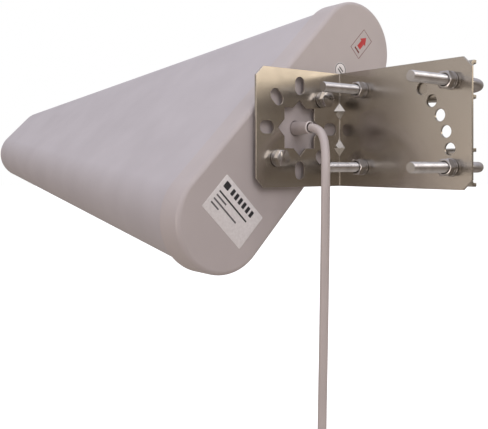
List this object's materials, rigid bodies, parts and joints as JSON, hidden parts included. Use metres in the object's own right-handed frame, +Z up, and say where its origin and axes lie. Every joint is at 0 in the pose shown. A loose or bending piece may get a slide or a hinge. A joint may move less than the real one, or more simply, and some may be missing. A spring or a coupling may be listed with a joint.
{
  "type": "log-periodic panel antenna",
  "caption": "Wedge-radome directional antenna rolled to slant polarisation on a stainless angle bracket with mast U-bolts, toothed saddles and a coaxial pigtail.",
  "frame": {"origin": "on the axis of the mast that the clamps grip, level with the middle of the angle bracket", "axes": "+Z up along the mast, +X the way the antenna looks, from its rear cover to its nose, +Y the side of the bracket that the clamp nuts are on"},
  "size_m": [0.5332, 0.1666, 0.4117],
  "materials": {
    "radome_abs": "satin, moulded, UV-stable",
    "cover_abs": "satin, moulded, UV-stable",
    "seal_rubber": "matt",
    "bracket_stainless": "satin cold-rolled sheet with clean punched edges",
    "saddle_steel": "pressed sheet with punched teeth",
    "bolt_stainless": "bright drawn and rolled thread",
    "cable_pvc": "extruded jacket, slightly shiny",
    "gland_plastic": "moulded",
    "heat_shrink": "matt, shrunk",
    "nickel_plate": "bright nickel plate",
    "ptfe": "turned, white",
    "gold_plate": "gold plated",
    "array_aluminium": "drawn, plain"
  },
  "bodies": {
    "antenna": {"radome": "radome_abs", "rear_cover": "cover_abs", "cover_gasket": "seal_rubber", "mount_bracket": "bracket_stainless", "upper_saddle": "saddle_steel", "lower_saddle": "saddle_steel", "cable": "cable_pvc", "cable_gland": "gland_plastic", "heat_shrink": "heat_shrink", "crimp_ferrule": "nickel_plate", "plug_body": "nickel_plate", "plug_insulator": "ptfe", "centre_pin": "gold_plate", "upper_boom": "array_aluminium", "lower_boom": "array_aluminium", "rear_short": "array_aluminium", "front_spacer": "ptfe", "feed_strip": "gold_plate", "inner_bracket": "array_aluminium", "inner_coax": "cable_pvc", "upper_housing_nut": "bolt_stainless", "lower_housing_nut": "bolt_stainless", "upper_cover_bolt": "bolt_stainless", "upper_cover_flat_washer": "bolt_stainless", "upper_cover_spring_washer": "bolt_stainless", "lower_cover_bolt": "bolt_stainless", "lower_cover_flat_washer": "bolt_stainless", "lower_cover_spring_washer": "bolt_stainless", "upper_inner_flat_washer": "bolt_stainless", "upper_inner_spring_washer": "bolt_stainless", "upper_outer_flat_washer": "bolt_stainless", "upper_outer_spring_washer": "bolt_stainless", "lower_inner_flat_washer": "bolt_stainless", "lower_inner_spring_washer": "bolt_stainless", "lower_outer_flat_washer": "bolt_stainless", "lower_outer_spring_washer": "bolt_stainless", "dipole_1_upper": "array_aluminium", "dipole_1_lower": "array_aluminium", "dipole_2_upper": "array_aluminium", "dipole_2_lower": "array_aluminium", "dipole_3_upper": "array_aluminium", "dipole_3_lower": "array_aluminium", "dipole_4_upper": "array_aluminium", "dipole_4_lower": "array_aluminium", "dipole_5_upper": "array_aluminium", "dipole_5_lower": "array_aluminium", "dipole_6_upper": "array_aluminium", "dipole_6_lower": "array_aluminium", "dipole_7_upper": "array_aluminium", "dipole_7_lower": "array_aluminium", "dipole_8_upper": "array_aluminium", "dipole_8_lower": "array_aluminium"},
    "upper_u_bolt": {"upper_u_bolt": "bolt_stainless"},
    "lower_u_bolt": {"lower_u_bolt": "bolt_stainless"},
    "coupling_nut": {"coupling_nut": "nickel_plate"},
    "upper_inner_nut": {"upper_inner_nut": "bolt_stainless"},
    "upper_outer_nut": {"upper_outer_nut": "bolt_stainless"},
    "lower_inner_nut": {"lower_inner_nut": "bolt_stainless"},
    "lower_outer_nut": {"lower_outer_nut": "bolt_stainless"}
  },
  "joints": [
    {"name": "upper_clamp_slide", "type": "slide", "parent": "antenna", "child": "upper_u_bolt", "axis": [0, -1, 0], "range_m": [0, 0.017]},
    {"name": "lower_clamp_slide", "type": "slide", "parent": "antenna", "child": "lower_u_bolt", "axis": [0, -1, 0], "range_m": [0, 0.017]},
    {"name": "upper_inner_nut_turn", "type": "hinge", "parent": "antenna", "child": "upper_inner_nut", "pos_m": [0.0316, 0.0286, 0.0231], "axis": [0, 1, 0], "range_deg": [-1, 6121]},
    {"name": "upper_outer_nut_turn", "type": "hinge", "parent": "antenna", "child": "upper_outer_nut", "pos_m": [-0.0316, 0.0286, 0.0231], "axis": [0, 1, 0], "range_deg": [-1, 6121]},
    {"name": "lower_inner_nut_turn", "type": "hinge", "parent": "antenna", "child": "lower_inner_nut", "pos_m": [0.0316, 0.0286, -0.0231], "axis": [0, 1, 0], "range_deg": [-1, 6121]},
    {"name": "lower_outer_nut_turn", "type": "hinge", "parent": "antenna", "child": "lower_outer_nut", "pos_m": [-0.0316, 0.0286, -0.0231], "axis": [0, 1, 0], "range_deg": [-1, 6121]},
    {"name": "coupling_nut_turn", "type": "hinge", "parent": "antenna", "child": "coupling_nut", "pos_m": [0.0236, 0.066, -0.32], "axis": [0, 0, 1], "continuous": true}
  ],
  "couplings": [
    {"joint": "upper_inner_nut_turn", "follows": "upper_clamp_slide", "rad_per_m": 6283.2},
    {"joint": "upper_outer_nut_turn", "follows": "upper_clamp_slide", "rad_per_m": 6283.2},
    {"joint": "lower_inner_nut_turn", "follows": "lower_clamp_slide", "rad_per_m": 6283.2},
    {"joint": "lower_outer_nut_turn", "follows": "lower_clamp_slide", "rad_per_m": 6283.2}
  ]
}
